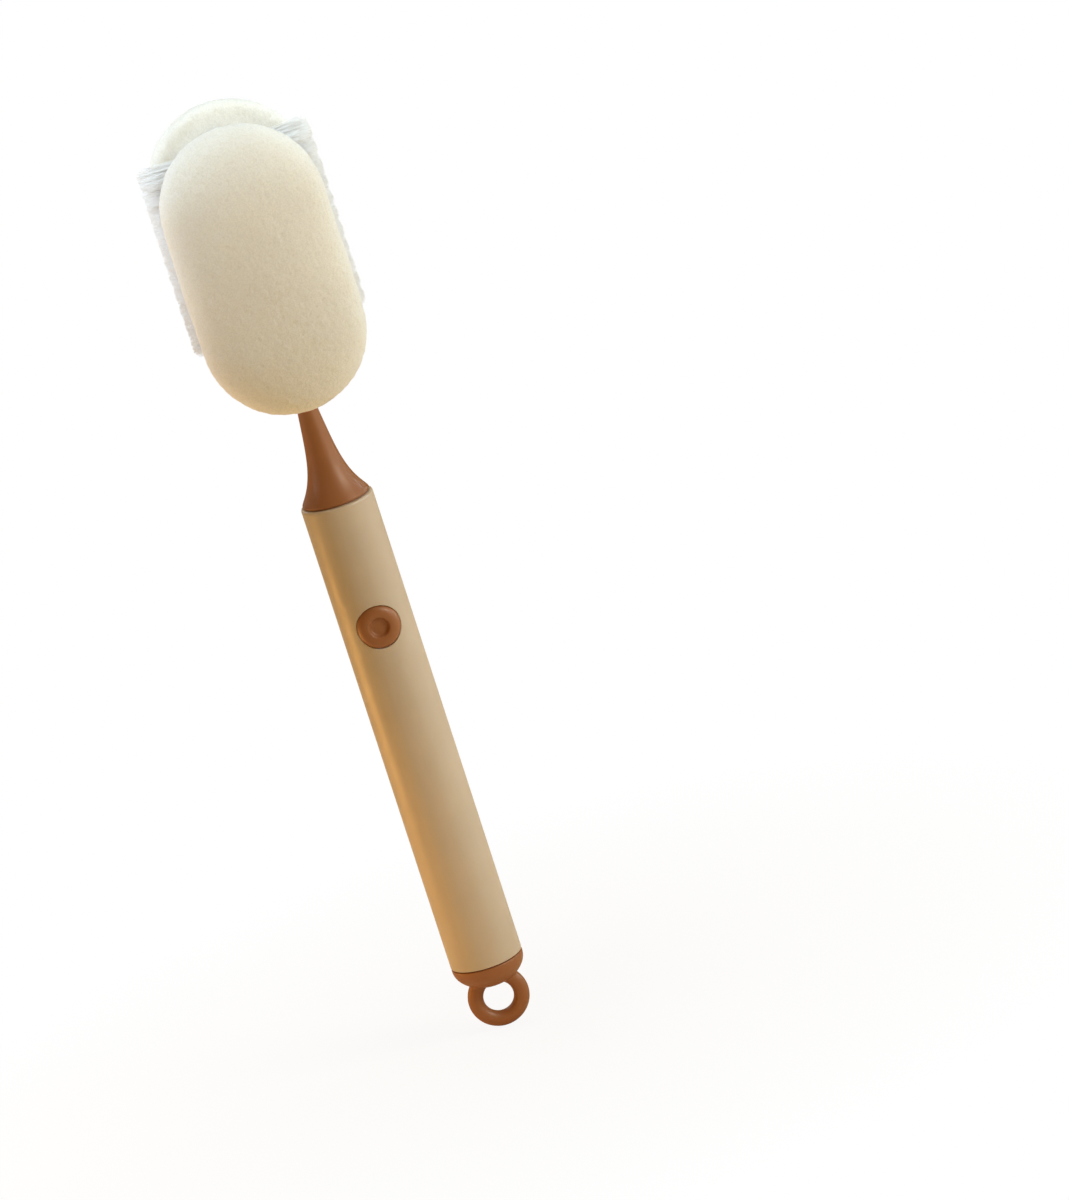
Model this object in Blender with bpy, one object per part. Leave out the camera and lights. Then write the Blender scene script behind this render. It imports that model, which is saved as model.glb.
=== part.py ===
"""A sponge bottle brush with a push-button handle and a pull-out head.

Metres, +Z up. The origin is the centre of the hanging ring's hole, +Z runs along the brush to the head,
and the button and the front pad face -Y. Every piece is its own object.
"""

import math
import random

import bmesh
import bpy
from mathutils import Matrix, Vector

# Clearance between two pieces that touch or slide
FIT_GAP = 0.0003

# Hanging ring and the bowl above it
RING_HOLE_RADIUS = 0.0050
RING_SECTION_RADIUS = 0.0026
RING_CENTRE_DROP = 0.0139
BOWL_DEPTH = 0.0082
BOWL_RIM = 0.0009
PLUG_LENGTH = 0.0120
PLUG_WALL = 0.0022
CAP_RING_SECTION = 0.0010
CAP_RING_DEPTH = 0.0065

# Handle tube
HANDLE_RADIUS = 0.0120
HANDLE_WALL = 0.0020
HANDLE_LENGTH = 0.1623
HANDLE_LIP_ROUND = 0.0008

# Push button
BUTTON_RADIUS = 0.0069
BUTTON_DROP = 0.0419
BUTTON_PROUD = 0.0007
BUTTON_TRAVEL = 0.0018
BUTTON_STEM_RADIUS = 0.0019
BUTTON_PEG_RADIUS = 0.0012
BUTTON_CURVE_SHARE = 0.6
DIMPLE_RADIUS = 0.0034
DIMPLE_DEPTH = 0.0011
WELL_WALL = 0.0037
WELL_LIP = 0.0008

# Latch and its spring
TIP_FLAT = 0.0017
YOKE_WALL = 0.0014
YOKE_HEIGHT = 0.0040
SPRING_RADIUS = 0.0026
SPRING_WIRE = 0.0006
SPRING_TURNS = 3
POCKET_WALL = 0.0015
INSERT_BELOW_BUTTON = 0.0115

# Neck, its stem into the head and its spigot into the handle
NECK_LENGTH = 0.0352
NECK_GAP = 0.0005
NECK_BASE_RADIUS = 0.0111
NECK_BASE_RIM = 0.0006
NECK_STRAIGHT = 0.0044
NECK_SLOPE_SHARE = 0.42
STEM_RADIUS = 0.0033
STEM_LENGTH = 0.0480
SPIGOT_RADIUS = 0.0060
SPIGOT_LENGTH = 0.0340
TIP_RADIUS = 0.0030
TIP_LENGTH = 0.0205
TIP_CHAMFER = 0.0006
GASKET_RADIUS = 0.0096
GASKET_RECESS = 0.0006
SPIGOT_RING_SECTION = 0.0011
SPIGOT_RING_DROP = 0.0080

# Foam pads
PAD_WIDTH = 0.0525
PAD_LENGTH = 0.0962
PAD_THICKNESS = 0.0165
PAD_SPACING = 0.0320
PAD_INNER_ROUND = 0.0022
PAD_WALL = 0.0035
PAD_DOME_POWER = 2.4

# Frame inside the head
PLATE_THICKNESS = 0.0016
PLATE_HALF_WIDTH = 0.0140
PLATE_BELOW_TOP = 0.0090
PLATE_ABOVE_BOTTOM = 0.0125
SPINE_WALL = 0.0018
RIB_WIDTH = 0.0010
RIB_HEIGHT = 0.0014
SCREW_RADIUS = 0.0012
SCREW_HEAD_RADIUS = 0.0022
SCREW_HEAD_HEIGHT = 0.0011
SCREW_BITE = 0.0080
SCREW_COUNT = 3
SCREW_MARGIN = 0.0065
PIN_RADIUS = 0.0011
PIN_HEIGHT = 0.0280

# Bristles
BRISTLE_ROWS = 11
BRISTLE_ROW_PITCH = 0.0056
BRISTLES_PER_ROW = 20
BRISTLE_REACH = 0.0290
BRISTLE_RADIUS = 0.00052
BRISTLE_TIP_RADIUS = 0.00034
BRISTLE_FIRST_ROW = 0.0137
BRISTLE_STAGGER = 0.0008
BRISTLE_FAN = 1.25
BRISTLE_JITTER = 0.0003
BACKING_THICKNESS = 0.0026
BACKING_MARGIN = 0.0026
BRISTLE_SEED = 7

# Heights that follow from the sizes above
RING_MIDDLE = RING_HOLE_RADIUS + RING_SECTION_RADIUS
HANDLE_LOW = RING_CENTRE_DROP
HANDLE_TOP = HANDLE_LOW + HANDLE_LENGTH
HANDLE_INNER = HANDLE_RADIUS - HANDLE_WALL
BUTTON_LEVEL = HANDLE_TOP - BUTTON_DROP
NECK_LOW = HANDLE_TOP + NECK_GAP
PAD_LOW = NECK_LOW + NECK_LENGTH
PAD_TOP = PAD_LOW + PAD_LENGTH
STEM_TOP = PAD_LOW + STEM_LENGTH
SPIGOT_LOW = NECK_LOW - SPIGOT_LENGTH
TIP_LOW = SPIGOT_LOW - TIP_LENGTH

# Sides of the latch, along Y
BORE_RADIUS = SPIGOT_RADIUS + FIT_GAP
TIP_BORE_RADIUS = TIP_RADIUS + FIT_GAP
CATCH_SIDE = TIP_FLAT + FIT_GAP
YOKE_BACK = CATCH_SIDE + YOKE_WALL
YOKE_HOLE_FRONT = TIP_RADIUS + FIT_GAP + BUTTON_TRAVEL
YOKE_FRONT = YOKE_HOLE_FRONT + YOKE_WALL
YOKE_HALF_WIDTH = TIP_RADIUS + FIT_GAP + YOKE_WALL
WELL_FLOOR = TIP_BORE_RADIUS + WELL_WALL
CAP_BACK = WELL_FLOOR + BUTTON_TRAVEL + FIT_GAP
POCKET_FLOOR = HANDLE_INNER - FIT_GAP - POCKET_WALL

# Inside of the head, from the middle outwards
PLATE_OUTER = PAD_SPACING / 2 - FIT_GAP
PLATE_INNER = PLATE_OUTER - PLATE_THICKNESS
PLATE_TOP = PAD_TOP - PLATE_BELOW_TOP
PLATE_LOW = PAD_LOW + PLATE_ABOVE_BOTTOM
CHANNEL_RADIUS = STEM_RADIUS + FIT_GAP
SPINE_HALF_WIDTH = CHANNEL_RADIUS + SPINE_WALL
BACKING_SIDE = SPINE_HALF_WIDTH + FIT_GAP
BACKING_FACE = BACKING_SIDE + BACKING_THICKNESS
RIB_SIDE = BACKING_FACE + FIT_GAP

# Smoothness of round pieces
FINE = 48
MEDIUM = 32
SMALL = 12
OVERSHOOT = 0.001


def clear_scene():
    for thing in list(bpy.data.objects):
        bpy.data.objects.remove(thing, do_unlink=True)


def material(name, colour, roughness, metallic=0.0):
    made = bpy.data.materials.new(name)
    made.use_nodes = True
    shader = made.node_tree.nodes["Principled BSDF"]
    shader.inputs["Base Color"].default_value = (*colour, 1.0)
    shader.inputs["Roughness"].default_value = roughness
    shader.inputs["Metallic"].default_value = metallic
    return made


def add_object(name, mesh_maker, finish=None, smooth=True):
    """Turns a bmesh into an object of the scene, shaded smooth but for its sharp edges."""
    mesh = bpy.data.meshes.new(name)
    bmesh.ops.recalc_face_normals(mesh_maker, faces=mesh_maker.faces)
    mesh_maker.to_mesh(mesh)
    mesh_maker.free()
    if smooth:
        mesh.shade_smooth()
        mesh.set_sharp_from_angle(angle=math.radians(35))
    made = bpy.data.objects.new(name, mesh)
    bpy.context.scene.collection.objects.link(made)
    if finish:
        mesh.materials.append(finish)
    return made


def skin_rings(maker, rings):
    """Joins rings of vertices into one closed skin. A ring of one vertex is a pole."""
    for low, high in zip(rings, rings[1:]):
        count = max(len(low), len(high))
        for i in range(count):
            j = (i + 1) % count
            if len(low) == 1:
                corners = (low[0], high[j], high[i])
            elif len(high) == 1:
                corners = (low[i], low[j], high[0])
            else:
                corners = (low[i], low[j], high[j], high[i])
            maker.faces.new(corners)


def turned_mesh(profile, sides):
    """A solid of revolution about Z from (radius, height) points. It closes on itself where it has a bore."""
    maker = bmesh.new()
    rings = []
    for radius, height in profile:
        if radius < 1e-7:
            rings.append([maker.verts.new((0, 0, height))])
            continue
        ring = []
        for i in range(sides):
            turn = 2 * math.pi * i / sides
            ring.append(maker.verts.new((radius * math.cos(turn), radius * math.sin(turn), height)))
        rings.append(ring)
    if len(rings[0]) > 1:
        rings.append(rings[0])
    skin_rings(maker, rings)
    return maker


def turned(name, profile, finish=None, sides=FINE):
    return add_object(name, turned_mesh(profile, sides), finish)


def box_mesh(low, high):
    maker = bmesh.new()
    size = [b - a for a, b in zip(low, high)]
    middle = [(a + b) / 2 for a, b in zip(low, high)]
    place = Matrix.Translation(middle) @ Matrix.Diagonal((*size, 1))
    bmesh.ops.create_cube(maker, size=1, matrix=place)
    return maker


def rod_mesh(start, end, radius, sides, end_radius=None):
    """A round rod or cone between two points."""
    maker = bmesh.new()
    start, end = Vector(start), Vector(end)
    along = end - start
    place = Matrix.Translation((start + end) / 2) @ along.to_track_quat("Z", "Y").to_matrix().to_4x4()
    bmesh.ops.create_cone(
        maker,
        cap_ends=True,
        segments=sides,
        radius1=radius,
        radius2=radius if end_radius is None else end_radius,
        depth=along.length,
        matrix=place,
    )
    return maker


def hidden(tool):
    tool.hide_render = True
    tool.display_type = "WIRE"
    return tool


def apply_tool(target, mesh_maker, label, operation="DIFFERENCE"):
    """Cuts a solid out of the target, or joins one to it, with a hidden tool object."""
    tool = hidden(add_object(f"{target.name}_{label}", mesh_maker, smooth=False))
    step = target.modifiers.new(label, "BOOLEAN")
    step.operation = operation
    step.object = tool
    step.solver = "EXACT"
    return tool


def round_steps(radius, steps):
    """Offsets of a quarter round, from its first to its last tangent point."""
    turns = [math.pi / 2 * i / steps for i in range(steps + 1)]
    return [(radius * (1 - math.cos(t)), radius * (1 - math.sin(t))) for t in turns]


def torus_mesh(mid_radius, section_radius, height, sides, section_sides, upright=False):
    """A ring round Z at a height, or one round Y where it stands upright."""
    maker = bmesh.new()
    rings = []
    for i in range(sides):
        turn = 2 * math.pi * i / sides
        ring = []
        for j in range(section_sides):
            around = 2 * math.pi * j / section_sides
            reach = mid_radius + section_radius * math.cos(around)
            across = section_radius * math.sin(around)
            flat = (reach * math.cos(turn), reach * math.sin(turn))
            spot = (flat[0], across, flat[1] + height) if upright else (*flat, across + height)
            ring.append(maker.verts.new(spot))
        rings.append(ring)
    rings.append(rings[0])
    skin_rings(maker, rings)
    return maker


def make_handle_tube(finish):
    inner = HANDLE_INNER
    lip = [
        (HANDLE_RADIUS - inset, HANDLE_TOP - drop)
        for inset, drop in round_steps(HANDLE_LIP_ROUND, 3)
    ]
    edge = HANDLE_LIP_ROUND / 3
    foot = [(HANDLE_RADIUS, HANDLE_LOW + edge), (HANDLE_RADIUS - edge, HANDLE_LOW)]
    profile = [(inner, HANDLE_TOP), *reversed(lip), *foot, (inner, HANDLE_LOW)]
    tube = turned("handle_tube", profile, finish)
    hole = BUTTON_RADIUS + FIT_GAP
    front = -(HANDLE_RADIUS + OVERSHOOT)
    apply_tool(tube, rod_mesh((0, front, BUTTON_LEVEL), (0, 0, BUTTON_LEVEL), hole, MEDIUM), "button_hole")
    lip_start = -(HANDLE_RADIUS + WELL_LIP)
    lip_end = -(HANDLE_RADIUS - WELL_LIP)
    lip_tool = rod_mesh(
        (0, lip_start, BUTTON_LEVEL), (0, lip_end, BUTTON_LEVEL), hole + 2 * WELL_LIP, MEDIUM, hole
    )
    apply_tool(tube, lip_tool, "hole_lip")
    return tube


def make_end_cap(finish):
    plug = HANDLE_INNER - FIT_GAP
    bore = plug - PLUG_WALL
    shoulder = HANDLE_LOW - FIT_GAP
    plug_top = HANDLE_LOW + PLUG_LENGTH
    groove_floor = plug - CAP_RING_SECTION - FIT_GAP
    groove_half = CAP_RING_SECTION / 2 + FIT_GAP
    groove_level = HANDLE_LOW + CAP_RING_DEPTH
    rim_low = shoulder - BOWL_RIM
    steps = 8
    bowl = []
    for i in range(steps):
        share = math.sin(math.pi / 2 * i / steps)
        bowl.append((HANDLE_RADIUS * math.sqrt(1 - share**2), rim_low - BOWL_DEPTH * share))
    profile = [
        (0, HANDLE_LOW),
        (bore, HANDLE_LOW),
        (bore, plug_top),
        (plug - FIT_GAP, plug_top),
        (plug, plug_top - FIT_GAP),
        (plug, groove_level + groove_half),
        (groove_floor, groove_level + groove_half),
        (groove_floor, groove_level - groove_half),
        (plug, groove_level - groove_half),
        (plug, shoulder),
        (HANDLE_RADIUS, shoulder),
        *bowl,
        (0, rim_low - BOWL_DEPTH),
    ]
    cap = turned("end_cap", profile, finish, 40)
    ring = torus_mesh(RING_MIDDLE, RING_SECTION_RADIUS, 0, 40, 14, upright=True)
    apply_tool(cap, ring, "hanging_ring", "UNION")
    return cap


def make_seal(name, finish, outer, section, level):
    """A round rubber ring whose outer edge reaches the given radius."""
    maker = torus_mesh(outer - section / 2, section / 2, level, 36, 8)
    return add_object(name, maker, finish)


def make_socket_insert(finish):
    outer = HANDLE_INNER - FIT_GAP
    low = BUTTON_LEVEL - INSERT_BELOW_BUTTON
    step = SPIGOT_LOW - FIT_GAP
    mouth = FIT_GAP * 2
    profile = [
        (BORE_RADIUS + mouth, HANDLE_TOP),
        (outer, HANDLE_TOP),
        (outer, low),
        (TIP_BORE_RADIUS, low),
        (TIP_BORE_RADIUS, step),
        (BORE_RADIUS, step),
        (BORE_RADIUS, HANDLE_TOP - mouth),
    ]
    insert = turned("socket_insert", profile, finish, 40)
    front = -(outer + OVERSHOOT)
    well = rod_mesh(
        (0, front, BUTTON_LEVEL), (0, -WELL_FLOOR, BUTTON_LEVEL), BUTTON_RADIUS + FIT_GAP, MEDIUM
    )
    apply_tool(insert, well, "button_well")
    half_width = YOKE_HALF_WIDTH + FIT_GAP
    half_height = YOKE_HEIGHT / 2 + FIT_GAP
    back = YOKE_BACK + BUTTON_TRAVEL + FIT_GAP
    channel = box_mesh(
        (-half_width, -WELL_FLOOR - OVERSHOOT, BUTTON_LEVEL - half_height),
        (half_width, back, BUTTON_LEVEL + half_height),
    )
    apply_tool(insert, channel, "latch_channel")
    pocket_radius = SPRING_RADIUS + SPRING_WIRE / 2 + FIT_GAP
    pocket = rod_mesh((0, CATCH_SIDE, BUTTON_LEVEL), (0, POCKET_FLOOR, BUTTON_LEVEL), pocket_radius, 24)
    apply_tool(insert, pocket, "spring_pocket")
    return insert


def button_face(x, proud):
    """Y of the button's front at a sideways place: it follows part of the handle's roundness."""
    drop = HANDLE_RADIUS - math.sqrt(HANDLE_RADIUS**2 - x**2)
    return -(HANDLE_RADIUS + proud - BUTTON_CURVE_SHARE * drop)


def make_release_button(finish):
    """A polar skin: the face with its rim and dimple, the side, the flat back, the stem and the peg."""
    floor_radius = DIMPLE_RADIUS * 0.8
    crest = (DIMPLE_RADIUS + BUTTON_RADIUS) / 2
    edge = BUTTON_RADIUS * 0.955
    dimple = BUTTON_PROUD - DIMPLE_DEPTH
    face = [
        (floor_radius * 0.5, dimple),
        (floor_radius, dimple),
        (DIMPLE_RADIUS * 0.93, dimple * 0.7 + BUTTON_PROUD * 0.1),
        (DIMPLE_RADIUS, BUTTON_PROUD * 0.35),
        (DIMPLE_RADIUS * 1.12, BUTTON_PROUD * 0.8),
        (crest, BUTTON_PROUD),
        (edge * 0.93, BUTTON_PROUD * 0.86),
        (edge, BUTTON_PROUD * 0.45),
        (BUTTON_RADIUS, -BUTTON_PROUD * 0.3),
    ]
    stem_end = YOKE_FRONT + FIT_GAP
    peg_end = YOKE_HOLE_FRONT + FIT_GAP
    back = [
        (BUTTON_RADIUS, CAP_BACK),
        (BUTTON_STEM_RADIUS, CAP_BACK),
        (BUTTON_STEM_RADIUS, stem_end),
        (BUTTON_PEG_RADIUS, stem_end),
        (BUTTON_PEG_RADIUS, peg_end),
    ]
    sides = 40
    maker = bmesh.new()
    rings = [[maker.verts.new((0, button_face(0, dimple), 0))]]
    for radius, proud in face:
        rings.append([])
        for i in range(sides):
            turn = 2 * math.pi * i / sides
            x = radius * math.cos(turn)
            rings[-1].append(maker.verts.new((x, button_face(x, proud), radius * math.sin(turn))))
    for radius, depth in back:
        rings.append([])
        for i in range(sides):
            turn = 2 * math.pi * i / sides
            rings[-1].append(maker.verts.new((radius * math.cos(turn), -depth, radius * math.sin(turn))))
    rings.append([maker.verts.new((0, -peg_end, 0))])
    skin_rings(maker, rings)
    button = add_object("release_button", maker, finish)
    button.location = (0, 0, BUTTON_LEVEL)
    return button


def make_latch_yoke(finish):
    half = YOKE_HEIGHT / 2
    yoke = add_object(
        "latch_yoke",
        box_mesh(
            (-YOKE_HALF_WIDTH, -YOKE_FRONT, BUTTON_LEVEL - half),
            (YOKE_HALF_WIDTH, YOKE_BACK, BUTTON_LEVEL + half),
        ),
        finish,
        smooth=False,
    )
    opening = box_mesh(
        (-TIP_BORE_RADIUS, -YOKE_HOLE_FRONT, BUTTON_LEVEL - YOKE_HEIGHT),
        (TIP_BORE_RADIUS, CATCH_SIDE, BUTTON_LEVEL + YOKE_HEIGHT),
    )
    apply_tool(yoke, opening, "opening")
    peg_hole = rod_mesh(
        (0, -YOKE_FRONT - OVERSHOOT, BUTTON_LEVEL),
        (0, -YOKE_HOLE_FRONT + OVERSHOOT, BUTTON_LEVEL),
        BUTTON_PEG_RADIUS + FIT_GAP,
        16,
    )
    apply_tool(yoke, peg_hole, "peg_hole")
    return yoke


def make_button_spring(finish):
    """A coil round Y between the yoke's back and the pocket's floor, one unbroken tube."""
    start = YOKE_BACK + FIT_GAP + SPRING_WIRE / 2
    end = POCKET_FLOOR - FIT_GAP - SPRING_WIRE / 2
    count = SPRING_TURNS * 10 + 1
    points = []
    for i in range(count):
        share = i / (count - 1)
        turn = 2 * math.pi * SPRING_TURNS * share
        x = SPRING_RADIUS * math.cos(turn)
        z = SPRING_RADIUS * math.sin(turn)
        points.append(Vector((x, start + (end - start) * share, BUTTON_LEVEL + z)))
    gaps = [
        (points[i] - points[j]).length - SPRING_WIRE
        for i in range(count)
        for j in range(i + 6, count)
    ]
    print("button_spring: least gap between turns", round(min(gaps) * 1000, 3), "mm")
    shape = bpy.data.curves.new("button_spring", "CURVE")
    shape.dimensions = "3D"
    shape.bevel_depth = SPRING_WIRE / 2
    shape.bevel_resolution = 1
    shape.render_resolution_u = 0
    shape.use_fill_caps = True
    line = shape.splines.new("POLY")
    line.points.add(count - 1)
    for spot, point in zip(line.points, points):
        spot.co = (*point, 1)
    shape.materials.append(finish)
    spring = bpy.data.objects.new("button_spring", shape)
    bpy.context.scene.collection.objects.link(spring)
    return spring


def neck_flare():
    """The trumpet's outline from its straight top down: a cone that opens faster near its foot."""
    steps = 12
    top = PAD_LOW - NECK_STRAIGHT
    low = NECK_LOW + NECK_BASE_RIM
    outline = []
    for i in range(steps + 1):
        t = i / steps
        share = NECK_SLOPE_SHARE * t + (1 - NECK_SLOPE_SHARE) * t**4
        outline.append((STEM_RADIUS + (NECK_BASE_RADIUS - STEM_RADIUS) * share, top + (low - top) * t))
    return outline


def make_neck(finish):
    recess = GASKET_RADIUS + FIT_GAP
    ring_half = SPIGOT_RING_SECTION / 2 + FIT_GAP
    ring_level = NECK_LOW - SPIGOT_RING_DROP
    groove_floor = SPIGOT_RADIUS - SPIGOT_RING_SECTION - FIT_GAP
    profile = [
        (0, STEM_TOP),
        (STEM_RADIUS - TIP_CHAMFER, STEM_TOP),
        (STEM_RADIUS, STEM_TOP - TIP_CHAMFER),
        *neck_flare(),
        (NECK_BASE_RADIUS, NECK_LOW + NECK_BASE_RIM / 3),
        (NECK_BASE_RADIUS - NECK_BASE_RIM / 3, NECK_LOW),
        (recess, NECK_LOW),
        (recess, NECK_LOW + GASKET_RECESS),
        (SPIGOT_RADIUS, NECK_LOW + GASKET_RECESS),
        (SPIGOT_RADIUS, ring_level + ring_half),
        (groove_floor, ring_level + ring_half),
        (groove_floor, ring_level - ring_half),
        (SPIGOT_RADIUS, ring_level - ring_half),
        (SPIGOT_RADIUS, SPIGOT_LOW + TIP_CHAMFER),
        (SPIGOT_RADIUS - TIP_CHAMFER, SPIGOT_LOW),
        (TIP_RADIUS, SPIGOT_LOW),
        (TIP_RADIUS, TIP_LOW + TIP_CHAMFER),
        (TIP_RADIUS - TIP_CHAMFER, TIP_LOW),
        (0, TIP_LOW),
    ]
    neck = turned("neck", profile, finish, 40)
    flat_top = BUTTON_LEVEL + YOKE_HEIGHT / 2 + FIT_GAP
    side = TIP_RADIUS * 2
    flat = box_mesh((-side, TIP_FLAT, TIP_LOW - OVERSHOOT), (side, side, flat_top))
    apply_tool(neck, flat, "catch_flat")
    apply_tool(neck, pin_hole_mesh(), "pin_hole")
    return neck


def pin_level():
    return PAD_LOW + PIN_HEIGHT


def pin_hole_mesh():
    reach = SPINE_HALF_WIDTH + OVERSHOOT
    level = pin_level()
    return rod_mesh((-reach, 0, level), (reach, 0, level), PIN_RADIUS + FIT_GAP, SMALL)


def make_stem_pin(finish):
    reach = SPINE_HALF_WIDTH - FIT_GAP
    level = pin_level()
    return add_object("stem_pin", rod_mesh((-reach, 0, level), (reach, 0, level), PIN_RADIUS, SMALL), finish)


def make_gasket(finish):
    low = HANDLE_TOP + FIT_GAP
    high = NECK_LOW + GASKET_RECESS - FIT_GAP
    inner = SPIGOT_RADIUS + FIT_GAP
    profile = [(inner, high), (GASKET_RADIUS, high), (GASKET_RADIUS, low), (inner, low)]
    return turned("neck_gasket", profile, finish, 36)


def stadium(half_width, half_length, round_sides, inset=0.0):
    """Points of an oblong with round ends in XZ, pulled in by the inset."""
    end_radius = half_width - inset
    shift = half_length - half_width
    points = []
    for end in (1, -1):
        for i in range(round_sides + 1):
            turn = math.pi * i / round_sides
            points.append((end * end_radius * math.cos(turn), end * (shift + end_radius * math.sin(turn))))
    return points


def make_pad(name, finish, side):
    """One foam pad: a pillow with a small inner round, whose outer face rounds from its rim to its middle."""
    half_width = PAD_WIDTH / 2
    half_length = PAD_LENGTH / 2
    inner = PAD_SPACING / 2
    middle = (PAD_LOW + PAD_TOP) / 2
    layers = [(half_width * 0.5, 0.0)]
    layers += [(inset, rise) for rise, inset in round_steps(PAD_INNER_ROUND, 3)]
    steps = 8
    for i in range(steps):
        reach = math.cos(math.pi / 2 * i / steps)
        rise = (1 - reach**PAD_DOME_POWER) ** (1 / PAD_DOME_POWER)
        layers.append((half_width * (1 - reach), PAD_WALL + (PAD_THICKNESS - PAD_WALL) * rise))
    maker = bmesh.new()
    rings = []
    for inset, rise in layers:
        outline = stadium(half_width, half_length, 14, inset)
        spots = [(x, side * (inner + rise), middle + z) for x, z in outline]
        rings.append([maker.verts.new(spot) for spot in spots])
    skin_rings(maker, rings)
    maker.faces.new(rings[0])
    cap_line(maker, rings[-1], (0, side * (inner + PAD_THICKNESS), middle), half_length - half_width)
    bmesh.ops.triangulate(maker, faces=[f for f in maker.faces if len(f.verts) > 4])
    return add_object(name, maker, finish)


def cap_line(maker, ring, middle, shift):
    """Closes an oblong ring onto a ridge line of two vertices."""
    top = maker.verts.new((middle[0], middle[1], middle[2] + shift))
    low = maker.verts.new((middle[0], middle[1], middle[2] - shift))
    half = len(ring) // 2
    for i in range(half - 1):
        maker.faces.new((ring[i], ring[i + 1], top))
        maker.faces.new((ring[half + i], ring[half + i + 1], low))
    maker.faces.new((ring[half - 1], ring[half], low, top))
    maker.faces.new((ring[-1], ring[0], top, low))


def plate_mesh(side):
    """An oblong plate behind a pad."""
    maker = bmesh.new()
    middle = (PLATE_LOW + PLATE_TOP) / 2
    outline = stadium(PLATE_HALF_WIDTH, (PLATE_TOP - PLATE_LOW) / 2, 10)
    rings = []
    for depth in (PLATE_INNER, PLATE_OUTER):
        rings.append([maker.verts.new((x, side * depth, middle + z)) for x, z in outline])
    skin_rings(maker, rings)
    for ring in rings:
        maker.faces.new(ring)
    return maker


def screw_levels():
    low = STEM_TOP + SCREW_MARGIN
    high = PLATE_TOP - SCREW_MARGIN - SCREW_HEAD_RADIUS
    step = (high - low) / max(1, SCREW_COUNT - 1)
    return [low + i * step for i in range(SCREW_COUNT)]


def backing_ends():
    high = PAD_TOP - BRISTLE_FIRST_ROW + BACKING_MARGIN
    low = PAD_TOP - BRISTLE_FIRST_ROW - (BRISTLE_ROWS - 1) * BRISTLE_ROW_PITCH - BACKING_MARGIN
    return low, high


def post_mesh(profile, level):
    """A stepped post along Y at a height, from pairs of radius and depth."""
    maker = bmesh.new()
    rings = []
    for radius, depth in profile:
        turns = [2 * math.pi * i / SMALL for i in range(SMALL if radius else 1)]
        ring = [(radius * math.cos(t), depth, level + radius * math.sin(t)) for t in turns]
        rings.append([maker.verts.new(spot) for spot in ring])
    skin_rings(maker, rings)
    for ring in (rings[0], rings[-1]):
        if len(ring) > 1:
            maker.faces.new(ring)
    return maker


def make_frame_half(name, finish, side):
    """Half of the head's frame: the plate behind one pad, half the spine, and the bristles' ribs."""
    frame = add_object(name, plate_mesh(side), finish)
    near, far = sorted((side * FIT_GAP / 2, side * (PLATE_INNER + PLATE_THICKNESS / 2)))
    ends = PLATE_LOW + SPINE_WALL, PLATE_TOP - SPINE_WALL
    spine = box_mesh((-SPINE_HALF_WIDTH, near, ends[0]), (SPINE_HALF_WIDTH, far, ends[1]))
    apply_tool(frame, spine, "spine", "UNION")
    low, high = backing_ends()
    rib_ends = side * (PLATE_INNER - RIB_HEIGHT), side * (PLATE_INNER + PLATE_THICKNESS / 2)
    rib_near, rib_far = sorted(rib_ends)
    for label, start in (("left_rib", -RIB_SIDE - RIB_WIDTH), ("right_rib", RIB_SIDE)):
        rib = box_mesh((start, rib_near, low), (start + RIB_WIDTH, rib_far, high))
        apply_tool(frame, rib, label, "UNION")
    channel = rod_mesh((0, 0, PLATE_LOW), (0, 0, STEM_TOP + FIT_GAP), CHANNEL_RADIUS, 24)
    apply_tool(frame, channel, "stem_channel")
    apply_tool(frame, pin_hole_mesh(), "pin_hole")
    hole = SCREW_RADIUS + FIT_GAP
    if side > 0:
        head, seat = SCREW_HEAD_RADIUS + FIT_GAP, PLATE_OUTER - SCREW_HEAD_HEIGHT - 2 * FIT_GAP
        profile = [(hole, -OVERSHOOT), (hole, seat), (head, seat), (head, PLATE_OUTER + OVERSHOOT)]
    else:
        profile = [(hole, -SCREW_BITE - FIT_GAP), (hole, OVERSHOOT)]
    for number, level in enumerate(screw_levels()):
        apply_tool(frame, post_mesh(profile, level), f"screw_hole_{number}")
    return frame


def make_frame_screw(name, finish, level):
    """A screw that holds the frame's halves together, its head at the back."""
    head_top = PLATE_OUTER - FIT_GAP
    head_low = head_top - SCREW_HEAD_HEIGHT
    profile = [
        (0, head_top),
        (SCREW_HEAD_RADIUS, head_top),
        (SCREW_HEAD_RADIUS, head_low),
        (SCREW_RADIUS, head_low),
        (SCREW_RADIUS, -SCREW_BITE + SCREW_RADIUS),
        (0, -SCREW_BITE),
    ]
    return add_object(name, post_mesh(profile, level), finish)


def add_strand(maker, root, tip):
    """One three-sided bristle from its root to its tip."""
    rings = []
    for spot, radius in ((root, BRISTLE_RADIUS), (tip, BRISTLE_TIP_RADIUS)):
        ring = []
        for i in range(3):
            turn = 2 * math.pi * i / 3
            out = Vector((0, radius * math.cos(turn), radius * math.sin(turn)))
            ring.append(maker.verts.new(Vector(spot) + out))
        rings.append(ring)
    skin_rings(maker, rings)
    maker.faces.new(rings[0])
    maker.faces.new(rings[1])


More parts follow.
